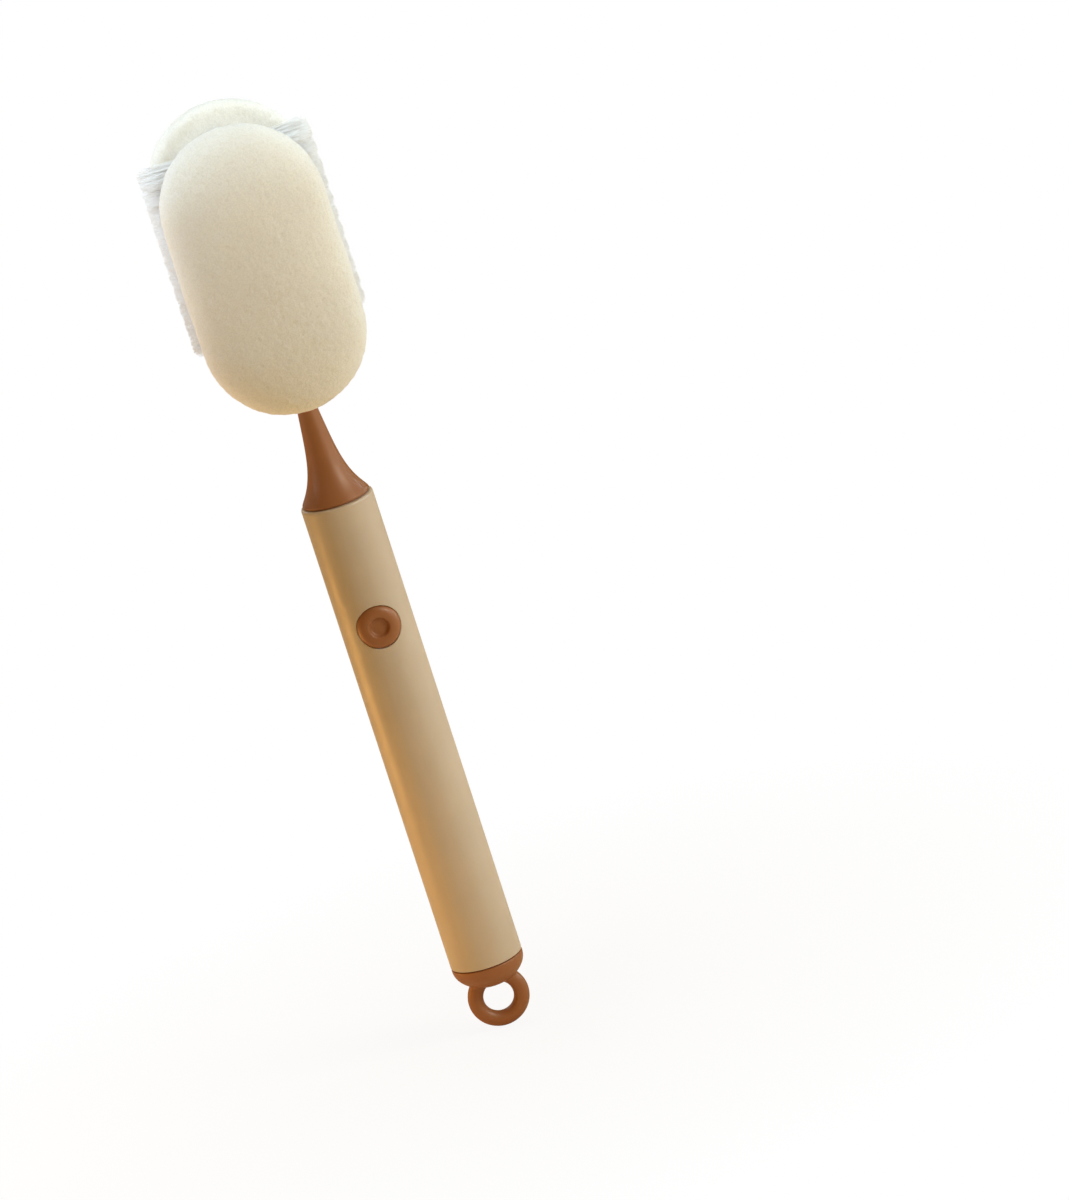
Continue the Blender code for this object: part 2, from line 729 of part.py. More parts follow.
def make_bristles(name, finish, side, seed):
    """One side's bristles: rows of strands that fan out from their backing slab."""
    low, high = backing_ends()
    depth = PLATE_INNER - FIT_GAP
    near, far = sorted((side * BACKING_SIDE, side * BACKING_FACE))
    slab = add_object(name, box_mesh((near, -depth, low), (far, depth, high)), finish, smooth=False)
    root_span = PLATE_INNER - RIB_HEIGHT - FIT_GAP - BRISTLE_RADIUS
    chance = random.Random(seed)
    maker = bmesh.new()
    for row in range(BRISTLE_ROWS):
        level = PAD_TOP - BRISTLE_FIRST_ROW - row * BRISTLE_ROW_PITCH
        for i in range(BRISTLES_PER_ROW):
            y = root_span * (2 * i / (BRISTLES_PER_ROW - 1) - 1)
            rise = BRISTLE_STAGGER * (1 if i % 2 else -1)
            root = (side * (BACKING_FACE - BACKING_THICKNESS / 3), y, level + rise)
            tip = (
                side * BRISTLE_REACH,
                y * BRISTLE_FAN + chance.uniform(-1, 1) * BRISTLE_JITTER,
                level + rise * BRISTLE_FAN + chance.uniform(-1, 1) * BRISTLE_JITTER,
            )
            add_strand(maker, root, tip)
    apply_tool(slab, maker, "strands", "UNION")
    return slab


def main():
    clear_scene()
    beige = material("beige_plastic", (0.69, 0.53, 0.36), 0.42)
    terracotta = material("terracotta_plastic", (0.31, 0.10, 0.035), 0.38)
    inner_plastic = material("inner_plastic", (0.75, 0.73, 0.68), 0.5)
    foam = material("cream_foam", (0.83, 0.78, 0.65), 0.95)
    nylon = material("white_nylon", (0.86, 0.86, 0.87), 0.45)
    dark_rubber = material("dark_rubber", (0.05, 0.03, 0.02), 0.7)
    steel = material("steel", (0.6, 0.6, 0.62), 0.3, 1.0)

    make_handle_tube(beige)
    make_end_cap(terracotta)
    make_seal("cap_ring", dark_rubber, HANDLE_INNER - FIT_GAP, CAP_RING_SECTION, HANDLE_LOW + CAP_RING_DEPTH)
    make_socket_insert(inner_plastic)
    make_release_button(terracotta)
    make_latch_yoke(inner_plastic)
    make_button_spring(steel)
    make_neck(terracotta)
    make_gasket(dark_rubber)
    make_seal("spigot_ring", dark_rubber, SPIGOT_RADIUS, SPIGOT_RING_SECTION, NECK_LOW - SPIGOT_RING_DROP)
    make_stem_pin(steel)
    make_frame_half("frame_front", inner_plastic, -1)
    make_frame_half("frame_back", inner_plastic, 1)
    for number, level in enumerate(screw_levels(), start=1):
        make_frame_screw(f"frame_screw_{number}", steel, level)
    make_bristles("bristles_left", nylon, -1, BRISTLE_SEED)
    make_bristles("bristles_right", nylon, 1, BRISTLE_SEED + 1)
    make_pad("sponge_front", foam, -1)
    make_pad("sponge_back", foam, 1)


main()
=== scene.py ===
"""Looks of the sponge bottle brush: fine meshes, procedural materials, light and camera.

Metres, +Z up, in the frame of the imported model. The origin is the centre of the hanging ring's hole,
and the button and the front pad face -Y.
"""
import math
import random

import bmesh
import bpy
import numpy as np
from mathutils import Matrix, Vector, noise


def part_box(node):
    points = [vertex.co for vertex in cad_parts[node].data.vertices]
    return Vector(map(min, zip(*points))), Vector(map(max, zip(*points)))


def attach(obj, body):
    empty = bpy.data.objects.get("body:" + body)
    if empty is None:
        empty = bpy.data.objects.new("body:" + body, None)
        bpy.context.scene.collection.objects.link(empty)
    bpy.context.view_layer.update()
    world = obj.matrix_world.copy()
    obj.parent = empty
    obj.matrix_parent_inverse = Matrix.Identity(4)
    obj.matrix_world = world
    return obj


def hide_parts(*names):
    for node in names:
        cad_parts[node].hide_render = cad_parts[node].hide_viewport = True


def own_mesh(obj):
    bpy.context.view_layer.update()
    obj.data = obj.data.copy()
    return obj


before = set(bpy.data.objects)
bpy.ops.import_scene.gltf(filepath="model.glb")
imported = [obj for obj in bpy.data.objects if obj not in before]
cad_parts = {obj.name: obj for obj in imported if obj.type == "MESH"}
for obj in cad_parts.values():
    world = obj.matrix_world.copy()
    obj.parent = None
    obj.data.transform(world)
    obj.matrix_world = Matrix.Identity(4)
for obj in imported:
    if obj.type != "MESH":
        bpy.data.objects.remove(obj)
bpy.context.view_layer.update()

MM = 0.001

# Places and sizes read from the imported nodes
tube_low, tube_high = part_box("handle_tube")
neck_low, neck_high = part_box("neck")
front_low, front_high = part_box("sponge_front")
back_low, back_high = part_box("sponge_back")
button_low, button_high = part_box("release_button")
gasket_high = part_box("neck_gasket")[1]
spring_low, spring_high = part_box("button_spring")
slab_low, slab_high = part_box("bristles_right")
spigot_ring_low, spigot_ring_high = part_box("spigot_ring")

HANDLE_RADIUS = tube_high.x
HANDLE_WALL = 2.0 * MM
HANDLE_INNER = HANDLE_RADIUS - HANDLE_WALL
HANDLE_LOW = tube_low.z
HANDLE_TOP = tube_high.z
BUTTON_LEVEL = (button_low.z + button_high.z) / 2
BUTTON_RADIUS = button_high.x
GASKET_SUNK = 0.3 * MM
NECK_LOW = gasket_high.z - GASKET_SUNK
PAD_LOW = front_low.z
PAD_TOP = front_high.z
FILLET_SHARE = 0.49
TINY = 1e-6


def link(obj):
    bpy.context.scene.collection.objects.link(obj)
    return obj


def object_from(name, maker, material=None, sharp=None):
    """An object from a bmesh, smooth but for edges sharper than the given angle."""
    bmesh.ops.recalc_face_normals(maker, faces=maker.faces)
    mesh = bpy.data.meshes.new(name)
    maker.to_mesh(mesh)
    maker.free()
    mesh.shade_smooth()
    if sharp:
        mesh.set_sharp_from_angle(angle=math.radians(sharp))
    if material:
        mesh.materials.append(material)
    return link(bpy.data.objects.new(name, mesh))


def bake(obj):
    """Replaces an object by its evaluated mesh, without its modifiers."""
    graph = bpy.context.evaluated_depsgraph_get()
    mesh = bpy.data.meshes.new_from_object(obj.evaluated_get(graph), depsgraph=graph)
    name, old = obj.name, obj.data
    bpy.data.objects.remove(obj, do_unlink=True)
    if old.users == 0:
        bpy.data.meshes.remove(old)
    mesh.name = name
    return link(bpy.data.objects.new(name, mesh))


def turns(count):
    """The angles of a full turn in that many steps."""
    return [2 * math.pi * i / count for i in range(count)]


def skin(maker, rings):
    """Faces between rings of vertices. A ring of one vertex is a pole."""
    for low, high in zip(rings, rings[1:]):
        count = max(len(low), len(high))
        for i in range(count):
            j = (i + 1) % count
            if len(low) == 1:
                maker.faces.new((low[0], high[j], high[i]))
            elif len(high) == 1:
                maker.faces.new((low[i], low[j], high[0]))
            else:
                maker.faces.new((low[i], low[j], high[j], high[i]))


def rounded(points, steps=5):
    """A profile whose corners are rounded. Each point is (radius, height, fillet)."""
    result = []
    for i, (r, z, fillet) in enumerate(points):
        here = Vector((r, z))
        if fillet <= 0 or i in (0, len(points) - 1):
            result.append((r, z))
            continue
        before = Vector(points[i - 1][:2]) - here
        after = Vector(points[i + 1][:2]) - here
        angle = before.angle(after)
        most = min(before.length * FILLET_SHARE, after.length * FILLET_SHARE)
        cut = min(fillet / math.tan(angle / 2), most)
        a = here + before.normalized() * cut
        b = here + after.normalized() * cut
        for k in range(steps + 1):
            t = k / steps
            spot = a * (1 - t) ** 2 + here * 2 * t * (1 - t) + b * t**2
            result.append((spot.x, spot.y))
    return result


def turned(name, profile, material, sides, sharp=50, closed=False):
    """An object turned round the Z axis. Each point of the profile is (radius, height)."""
    maker = bmesh.new()
    rings = []
    for r, z in profile:
        if r < TINY:
            rings.append([maker.verts.new((0, 0, z))])
            continue
        rings.append([maker.verts.new((r * math.cos(t), r * math.sin(t), z)) for t in turns(sides)])
    if closed:
        rings.append(rings[0])
    skin(maker, rings)
    return object_from(name, maker, material, sharp)


# Materials


class Tree:
    """Short calls for a node tree. A value that is a socket is linked."""

    def __init__(self, tree):
        self.tree = tree

    def add(self, kind, inputs=(), **settings):
        node = self.tree.nodes.new(kind)
        for key, value in settings.items():
            setattr(node, key, value)
        for key, value in dict(inputs).items():
            if isinstance(value, bpy.types.NodeSocket):
                self.tree.links.new(value, node.inputs[key])
            else:
                node.inputs[key].default_value = value
        return node

    def maths(self, operation, first, second):
        return self.add("ShaderNodeMath", {0: first, 1: second}, operation=operation).outputs[0]

    def ramp(self, value, low, high, to_low=0.0, to_high=1.0):
        inputs = {"Value": value, "From Min": low, "From Max": high, "To Min": to_low, "To Max": to_high}
        return self.add("ShaderNodeMapRange", inputs).outputs["Result"]

    def mix_shaders(self, share, first, second):
        return self.add("ShaderNodeMixShader", {0: share, 1: first, 2: second}).outputs[0]


class Surface(Tree):
    """A material on the Principled shader, with textures that are fixed to the object."""

    def __init__(self, name, roughness, colour):
        self.material = bpy.data.materials.new(name)
        self.material.use_nodes = True
        super().__init__(self.material.node_tree)
        self.shader = self.tree.nodes["Principled BSDF"]
        self.put({"Roughness": roughness, "Base Color": (*colour, 1)})
        self.place = self.add("ShaderNodeTexCoord").outputs["Object"]

    def put(self, values):
        for socket, value in values.items():
            self.shader.inputs[socket].default_value = value

    def wire(self, source, socket):
        self.tree.links.new(source, self.shader.inputs[socket])

    def noise(self, scale, detail, rough=0.5):
        inputs = {"Vector": self.place, "Scale": scale, "Detail": detail, "Roughness": rough}
        return self.add("ShaderNodeTexNoise", inputs).outputs["Fac"]

    def cells(self, scale):
        inputs = {"Vector": self.place, "Scale": scale}
        return self.add("ShaderNodeTexVoronoi", inputs).outputs["Distance"]

    def cloud(self, scale, detail, low=0.0, high=1.0):
        """Noise whose middle is spread over the range from low to high."""
        return self.ramp(self.noise(scale, detail), 0.3, 0.7, low, high)

    def mix(self, share, first, second):
        first, second = (c if isinstance(c, bpy.types.NodeSocket) else (*c, 1) for c in (first, second))
        return self.add("ShaderNodeMix", {"Factor": share, 6: first, 7: second}, data_type="RGBA").outputs[2]

    def bump(self, height, strength, distance, normal=None):
        inputs = {"Height": height, "Strength": strength, "Distance": distance}
        if normal:
            inputs["Normal"] = normal
        return self.add("ShaderNodeBump", inputs).outputs["Normal"]

    def mottle(self, scale, detail, colour, dark, light):
        """Base colour in soft patches, between two factors of the colour."""
        patches = self.mix(self.cloud(scale, detail), tint(colour, dark), tint(colour, light))
        self.wire(patches, "Base Color")

    def polish(self, scale, detail, low, high):
        """Roughness in soft patches."""
        self.wire(self.cloud(scale, detail, low, high), "Roughness")


def tint(colour, factor):
    """The colour times the factor, with no channel over 1."""
    return tuple(min(1.0, c * factor) for c in colour)


def plastic(name, colour, roughness, grain=0.06, coat=0.0, scatter=0.0, shine=0.5, tinge=(1.0, 1.0, 1.0)):
    """Moulded plastic: slight cloudiness, a fine moulded grain and polish that varies a little."""
    made = Surface(name, roughness, colour)
    made.mottle(70, 3, colour, 0.965, 1.03)
    made.polish(240, 4, roughness - 0.05, roughness + 0.06)
    waves = made.bump(made.noise(95, 2), 0.05, 0.0004)
    made.wire(made.bump(made.noise(3200, 2), grain, 0.00006, waves), "Normal")
    made.put({"IOR": 1.5, "Specular IOR Level": shine, "Specular Tint": (*tinge, 1)})
    made.put({"Coat Weight": coat, "Coat Roughness": 0.4})
    if scatter:
        made.put({"Subsurface Weight": scatter, "Subsurface Scale": 0.0025})
        made.put({"Subsurface Radius": (1.0, 0.55, 0.3)})
    return made.material


def foam(name, colour):
    """Open-cell foam: fine pores of two sizes with painted shade at their bottoms, and cloudy variation over
    the pad.
    """
    made = Surface(name, 0.95, colour)
    deep = made.ramp(made.cells(1700), 0.3, 0.8)
    small = made.ramp(made.cells(3300), 0.3, 0.75)
    base = made.mix(made.cloud(45, 4), tint(colour, 0.975), tint(colour, 1.02))
    # Painted shade: both sizes of pore are darker in colour where they sink, standing in for the shade
    # inside them.
    painted_pore_shade = made.mix(made.maths("MULTIPLY", deep, 0.35), base, tint(colour, 0.8))
    made.wire(made.mix(made.maths("MULTIPLY", small, 0.2), painted_pore_shade, tint(colour, 0.75)), "Base Color")
    height = made.maths("ADD", made.maths("MULTIPLY", deep, -1.0), made.maths("MULTIPLY", small, -0.5))
    lumps = made.bump(made.noise(380, 4, 0.6), 0.12, 0.0005)
    made.wire(made.bump(height, 0.3, 0.00025, lumps), "Normal")
    made.put({"Subsurface Weight": 1.0, "Subsurface Radius": (1.0, 1.0, 0.95), "Subsurface Scale": 0.006})
    made.put({"Specular IOR Level": 0.15, "Sheen Weight": 0.1, "Sheen Roughness": 0.6})
    return made.material


def nylon(name, colour):
    made = Surface(name, 0.42, colour)
    made.mottle(900, 2, colour, 0.96, 1.03)
    made.polish(1700, 2, 0.36, 0.52)
    return made.material


def rubber(name, colour):
    made = Surface(name, 0.7, colour)
    made.mottle(300, 4, colour, 0.85, 1.2)
    made.polish(600, 3, 0.6, 0.8)
    made.wire(made.bump(made.noise(2600, 3), 0.15, 0.0001), "Normal")
    return made.material


def metal(name, colour, roughness):
    made = Surface(name, roughness, colour)
    made.put({"Metallic": 1.0})
    made.mottle(500, 4, colour, 0.9, 1.08)
    made.polish(1500, 3, roughness - 0.08, roughness + 0.1)
    made.wire(made.bump(made.noise(2400, 2), 0.08, 0.00005), "Normal")
    return made.material


BEIGE = (0.585, 0.478, 0.355)
TERRACOTTA = (0.3, 0.108, 0.036)
IVORY = (0.74, 0.72, 0.67)
CREAM = (0.86, 0.83, 0.74)
WHITE = (1.0, 0.97, 0.94)
DARK = (0.27, 0.12, 0.055)
GREY = (0.62, 0.62, 0.64)

beige = plastic("beige_plastic", BEIGE, 0.4, coat=0.25, scatter=0.2)
terracotta = plastic("terracotta_plastic", TERRACOTTA, 0.47, shine=0.9, tinge=(1.0, 0.78, 0.58))
moulded = plastic("inner_plastic", IVORY, 0.5, 0.1)
cream_foam = foam("cream_foam", CREAM)
white_nylon = nylon("white_nylon", WHITE)
# This dark rubber is real on the hidden rings, and painted shade on the gasket's flange in the line between
# neck and handle.
dark_rubber = rubber("dark_rubber", DARK)
steel = metal("steel", GREY, 0.3)


# Handle: a tube with a rounded lip and a rounded button hole


def window_path(columns, rows):
    """Grid places round the edge of the window, anticlockwise seen from the front."""
    path = [(c, 0) for c in range(columns)]
    path += [(columns, r) for r in range(rows)]
    path += [(columns - c, rows) for c in range(columns)]
    path += [(0, rows - r) for r in range(rows)]
    return path


def make_handle():
    """The tube, with a window of square grid at the button, and the hole's rings inside the window."""
    sides, half, rows = 128, 23, 20
    columns = 2 * half
    reach = 10.0 * MM
    hole = BUTTON_RADIUS + 0.27 * MM
    lip, lip_steps = 0.3 * MM, 6
    edge_run, top_run = 1 * MM, 2 * MM
    # Column 0 is the window's left edge as seen from the front
    start = -math.pi / 2 - 2 * math.pi * half / sides
    maker = bmesh.new()
    levels = [BUTTON_LEVEL - reach + 2 * reach * i / rows for i in range(rows + 1)]

    def profile_ring(radius, z):
        angles = [start + turn for turn in turns(sides)]
        return [maker.verts.new((radius * math.cos(a), radius * math.sin(a), z)) for a in angles]

    edge_low = rounded(
        [
            (HANDLE_INNER, HANDLE_LOW + edge_run, 0),
            (HANDLE_INNER, HANDLE_LOW, 0.15 * MM),
            (HANDLE_RADIUS, HANDLE_LOW, 0.25 * MM),
            (HANDLE_RADIUS, HANDLE_LOW + edge_run, 0),
        ]
    )
    edge_top = rounded(
        [
            (HANDLE_RADIUS, HANDLE_TOP - top_run, 0),
            (HANDLE_RADIUS, HANDLE_TOP, 1.2 * MM),
            (HANDLE_INNER, HANDLE_TOP, 0.3 * MM),
            (HANDLE_INNER, HANDLE_TOP - top_run, 0),
        ],
        7,
    )
    outer_rows = [profile_ring(HANDLE_RADIUS, z) for z in levels]
    inner_rows = [profile_ring(HANDLE_INNER, z) for z in levels]
    low_rings = [profile_ring(r, z) for r, z in edge_low]
    top_rings = [profile_ring(r, z) for r, z in edge_top]
    middle = [HANDLE_LOW + (levels[0] - HANDLE_LOW) * share for share in (0.33, 0.66)]
    middle_rings = [profile_ring(HANDLE_RADIUS, z) for z in middle]
    skin(maker, [*low_rings, *middle_rings, outer_rows[0]])
    skin(maker, [outer_rows[-1], *top_rings, inner_rows[-1]])
    skin(maker, [inner_rows[0], low_rings[0]])
    for grid in (outer_rows, inner_rows):
        for low, high in zip(grid, grid[1:]):
            for i in range(columns, sides):
                j = (i + 1) % sides
                maker.faces.new((low[i], low[j], high[j], high[i]))
    path = window_path(columns, rows)

    def ring_at(radius, share, rim, depth):
        """Vertices between the hole and the window's edge, on a cylinder of that radius."""
        ring = []
        for c, r in path:
            turn = start + 2 * math.pi * c / sides
            x, z = radius * math.cos(turn), levels[r] - BUTTON_LEVEL
            around = math.atan2(z, x)
            hx, hz = rim * math.cos(around), rim * math.sin(around)
            px, pz = hx + (x - hx) * share, hz + (z - hz) * share
            y = -math.sqrt(radius**2 - px**2) + depth
            ring.append(maker.verts.new((px, y, BUTTON_LEVEL + pz)))
        return ring

    outer_edge = [outer_rows[r][c] for c, r in path]
    inner_edge = [inner_rows[r][c] for c, r in path]
    rings = [outer_edge]
    rings += [ring_at(HANDLE_RADIUS, share, hole + lip, 0) for share in (0.7, 0.45, 0.25, 0.1, 0.0)]
    for k in range(1, lip_steps + 1):
        t = math.pi / 2 * k / lip_steps
        rings.append(ring_at(HANDLE_RADIUS, 0.0, hole + lip * (1 - math.sin(t)), lip * (1 - math.cos(t))))
    rings += [ring_at(HANDLE_INNER, share, hole, 0) for share in (0.0, 0.5)]
    rings.append(inner_edge)
    skin(maker, rings)
    handle = object_from("handle_shell", maker, beige, 60)
    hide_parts("handle_tube")
    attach(handle, "handle")


# End cap: bowl and ring grown together


def make_end_cap():
    """Bowl and ring as one skin, melted together by a fine remesh, and the plug inside the handle."""
    sides = 96
    bowl_top = HANDLE_LOW - 0.3 * MM
    sunk = bowl_top - 3 * MM
    mouth = 9.4 * MM
    rim, depth, steps = 0.9 * MM, 8.2 * MM, 16
    profile = [(0, sunk), (mouth, sunk), (mouth, bowl_top)]
    profile += rounded(
        [
            (mouth, bowl_top, 0),
            (HANDLE_RADIUS, bowl_top, 0.35 * MM),
            (HANDLE_RADIUS, bowl_top - rim, 0),
        ]
    )[1:]
    for i in range(1, steps + 1):
        s = math.sin(math.pi / 2 * i / steps)
        profile.append((HANDLE_RADIUS * math.sqrt(max(0, 1 - s**2)), bowl_top - rim - depth * s))
    bowl = turned("end_cap_shell", profile, terracotta, sides)
    ring_mid, ring_half, ring_sides = 7.6 * MM, 2.6 * MM, 32
    maker = bmesh.new()
    rings = []
    for turn in turns(sides):
        ring = []
        for a in turns(ring_sides):
            d = ring_mid + ring_half * math.cos(a)
            ring.append(maker.verts.new((d * math.cos(turn), ring_half * math.sin(a), d * math.sin(turn))))
        rings.append(ring)
    rings.append(rings[0])
    skin(maker, rings)
    ring = object_from("end_cap_loop", maker)
    join = bowl.modifiers.new("join", "BOOLEAN")
    join.operation = "UNION"
    join.object = ring
    cap = voxelise(bowl, 0.28 * MM)
    bpy.data.objects.remove(ring)

    def melted(spot):
        """Full weight where the ring meets the bowl."""
        return 1.0 if 2.0 * MM < spot.z < 9.5 * MM and abs(spot.y) < 6 * MM else 0.25

    soften(cap, melted, 14)
    dress(cap, terracotta)
    bore, groove, outer = 7.5 * MM, 8.4 * MM, 9.7 * MM
    top, groove_top, groove_low = HANDLE_LOW + 12 * MM, HANDLE_LOW + 7.3 * MM, HANDLE_LOW + 5.7 * MM
    profile = [
        (bore, HANDLE_LOW - 1 * MM),
        (bore, top),
        (mouth, top),
        (outer, HANDLE_LOW + 11.7 * MM),
        (outer, groove_top),
        (groove, groove_top),
        (groove, groove_low),
        (outer, groove_low),
        (outer, HANDLE_LOW - 0.5 * MM),
    ]
    plug = turned("end_cap_plug", profile, terracotta, sides, 30)
    for piece in (cap, plug):
        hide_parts("end_cap")
        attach(piece, "handle")


def voxelise(obj, size):
    """The object's skin as small even squares."""
    step = obj.modifiers.new("voxels", "REMESH")
    step.mode = "VOXEL"
    step.voxel_size = size
    return bake(obj)


def dress(obj, material):
    """Smooth shading and that material alone."""
    obj.data.shade_smooth()
    obj.data.materials.clear()
    obj.data.materials.append(material)


def places(mesh):
    """The vertices' coordinates, one row for each."""
    spots = np.empty(len(mesh.vertices) * 3)
    mesh.vertices.foreach_get("co", spots)
    return spots.reshape(-1, 3)


def soften(obj, weight, rounds):
    """Relaxes a mesh, each vertex by its own weight."""
    mesh = obj.data
    count = len(mesh.vertices)
    spots = places(mesh)
    ends = np.empty(len(mesh.edges) * 2, int)
    mesh.edges.foreach_get("vertices", ends)
    a, b = ends.reshape(-1, 2).T
    share = np.array([weight(Vector(p)) for p in spots])[:, None] * 0.5
    degree = np.zeros(count)
    np.add.at(degree, a, 1)
    np.add.at(degree, b, 1)
    for _ in range(rounds):
        total = np.zeros_like(spots)
        np.add.at(total, a, spots[b])
        np.add.at(total, b, spots[a])
        spots += share * (total / degree[:, None] - spots)
    mesh.vertices.foreach_set("co", spots.ravel())
    mesh.update()


# Push button


def button_front(x, proud):
    """Y of the button's face at x. It follows the handle's curve in part."""
    drop = HANDLE_RADIUS - math.sqrt(HANDLE_RADIUS**2 - x**2)
    return -(HANDLE_RADIUS + proud - 0.6 * drop)


def make_button():
    """The cap, in mm: its face as (radius, height over the handle) and its underside as (radius, Y)."""
    r = BUTTON_RADIUS / MM + 0.21
    face = [
        (0.0, -0.78),
        (1.2, -0.78),
        (2.1, -0.77),
        (2.45, -0.72),
        (2.7, -0.58),
        (2.9, -0.3),
        (3.1, 0.1),
        (3.25, 0.36),
        (3.5, 0.55),
        (3.9, 0.66),
        (4.6, 0.7),
        (5.2, 0.67),
        (5.8, 0.54),
        (6.3, 0.3),
        (6.65, 0.0),
        (6.9, -0.35),
        (r - 0.04, -0.65),
        (r, -1.0),
    ]
    under = [(r, -9.1), (1.9, -9.1), (1.9, -6.8), (1.2, -6.8), (1.2, -5.4), (0.0, -5.4)]
    sides = 96
    maker = bmesh.new()
    rings = []
    for rows, curved in ((face, True), (under, False)):
        for radius, level in rows:
            ring = []
            for turn in turns(sides if radius else 1):
                x, z = radius * MM * math.cos(turn), radius * MM * math.sin(turn)
                y = button_front(x, level * MM) if curved else level * MM
                ring.append(maker.verts.new((x, y, BUTTON_LEVEL + z)))
            rings.append(ring)
    skin(maker, rings)
    button = object_from("button_cap", maker, terracotta, 60)
    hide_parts("release_button")
    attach(button, "button")


# Neck, gasket and spring


def make_neck():
    """Trumpet, stem, spigot with its ring's groove, and the thin tip with the latch's flat."""
    stem, base = 3.3 * MM, neck_high.x
    spigot, groove, tip = 6.0 * MM, 4.6 * MM, 3.0 * MM
    top = PAD_LOW - 4.4 * MM
    low = NECK_LOW + 0.75 * MM
    flare_steps = 32
    flare = []
    for i in range(flare_steps + 1):
        t = i / flare_steps
        share = 0.42 * t + 0.58 * t**4.5
        flare.append((stem + (base - 0.1 * MM - stem) * share, top + (low - top) * t))
    recess, recess_top = 9.9 * MM, NECK_LOW + 0.6 * MM
    ring_level = (spigot_ring_low.z + spigot_ring_high.z) / 2
    groove_top, groove_low = ring_level + 0.85 * MM, ring_level - 0.85 * MM
    spigot_low = NECK_LOW - 34 * MM
    rim = rounded(
        [
            (*flare[-2], 0),
            (base, low - 0.3 * MM, 0.25 * MM),
            (base, NECK_LOW, 0.2 * MM),
            (recess, NECK_LOW, 0),
            (recess, recess_top, 0),
            (spigot, recess_top, 0),
            (spigot, groove_top, 0.1 * MM),
            (groove, groove_top, 0),
            (groove, groove_low, 0),
            (spigot, groove_low, 0.1 * MM),
            (spigot, spigot_low, 0.6 * MM),
            (tip, spigot_low, 0.1 * MM),
            (tip, neck_low.z, 0.6 * MM),
            (0, neck_low.z, 0),
        ]
    )
    stem_end = rounded([(0, neck_high.z, 0), (stem, neck_high.z, 0.5 * MM), (stem, top, 0)])
    profile = [(0, neck_high.z), *stem_end[1:-1], *flare[:-2], *rim]
    neck = turned("neck_shell", profile, terracotta, 128, 40)
    flat = neck.modifiers.new("flat", "BOOLEAN")
    wide, deep, tall = 0.02, 0.01, 0.03
    box = bmesh.new()
    bmesh.ops.create_cube(box, size=1, matrix=Matrix.Diagonal((wide, deep, tall, 1)))
    cutter = object_from("flat_cutter", box)
    cutter.location = (0, 1.7 * MM + deep / 2, BUTTON_LEVEL + 2.3 * MM - tall / 2)
    flat.object = cutter
    neck = bake(neck)
    neck.data.set_sharp_from_angle(angle=math.radians(40))
    bpy.data.objects.remove(cutter)
    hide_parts("neck")
    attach(neck, "head")


def make_gasket():
    """The ring in the neck's base, with a thin flange of dark rubber that fills the line between neck and
    handle, partly a real seal and partly painted shade in that gap.
    """
    inner, outer, edge = 6.3 * MM, gasket_high.x, 10.8 * MM
    gap = 0.05 * MM
    low, high = HANDLE_TOP + gap, NECK_LOW - gap
    profile = rounded(
        [
            (inner, gasket_high.z, 0),
            (outer, gasket_high.z, 0.2 * MM),
            (outer, high, 0),
            (edge, high, 0.1 * MM),
            (edge, low, 0.1 * MM),
            (inner, low, 0),
        ]
    )
    # The flange is partly a real seal and partly painted shade: its dark rubber stands in for the shadow
    # line between neck and handle.
    gasket = turned("gasket_ring", profile, dark_rubber, 96, 40, closed=True)
    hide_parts("neck_gasket")
    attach(gasket, "head")


def make_spring():
    """An unbroken coil along Y, on a mesh of its own, left at its full length."""
    radius, wire, loops, steps, around = 2.6 * MM, 0.3 * MM, 3, 96, 10
    start, end = spring_low.y + wire, spring_high.y - wire
    maker = bmesh.new()
    rings = []
    for i in range(steps + 1):
        share = i / steps
        turn = 2 * math.pi * loops * share
        out = Vector((math.cos(turn), 0, math.sin(turn)))
        middle = out * radius + Vector((0, start + (end - start) * share, BUTTON_LEVEL))
        ring = []
        for a in turns(around):
            side = Vector((0, wire * math.sin(a), 0))
            ring.append(maker.verts.new(middle + out * wire * math.cos(a) + side))
        rings.append(ring)
    skin(maker, rings)
    maker.faces.new(rings[0])
    maker.faces.new(rings[-1])
    coil = object_from("spring_coil", maker, steel, 60)
    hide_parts("button_spring")
    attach(coil, "handle")
    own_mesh(coil)


# Foam pads

DOME_POWER = 2.4
SWELL_FRAMES = 20


def stadium(half_width, half_length, steps, inset):
    """An oblong with round ends, moved inwards by the inset."""
    radius = half_width - inset
    shift = half_length - half_width
    spots = []
    for end in (1, -1):
        for i in range(steps + 1):
            turn = math.pi * i / steps
            spots.append((end * radius * math.cos(turn), end * (shift + radius * math.sin(turn))))
    return spots


def pad_blank(name, low, high, side):
    """The pad's plain form: a pillow whose outer face rounds all the way from its rim to its middle."""
    half_width, half_length = high.x, (high.z - low.z) / 2
    thick = high.y - low.y
    inner = low.y if side > 0 else -high.y
    middle = (low.z + high.z) / 2
    wall, edge = 3.5 * MM, 2.2 * MM
    edge_steps, dome_steps, end_steps = 6, 17, 40
    layers = [(half_width * (1 - share), 0.0) for share in (0.25, 0.6)]
    for i in range(edge_steps + 1):
        t = math.pi / 2 * i / edge_steps
        layers.append((edge * (1 - math.sin(t)), edge * (1 - math.cos(t))))
    for i in range(dome_steps):
        t = math.pi / 2 * i / dome_steps
        inset = 1 - math.cos(t)
        rise = (1 - (1 - inset) ** DOME_POWER) ** (1 / DOME_POWER)
        layers.append((half_width * inset, wall + (thick - wall) * rise))
    maker = bmesh.new()
    rings = []
    for inset, rise in layers:
        oblong = stadium(half_width, half_length, end_steps, inset)
        rings.append([maker.verts.new((x, side * (inner + rise), middle + z)) for x, z in oblong])
    skin(maker, rings)
    maker.faces.new(rings[0])
    maker.faces.new(rings[-1])
    return object_from(name, maker)


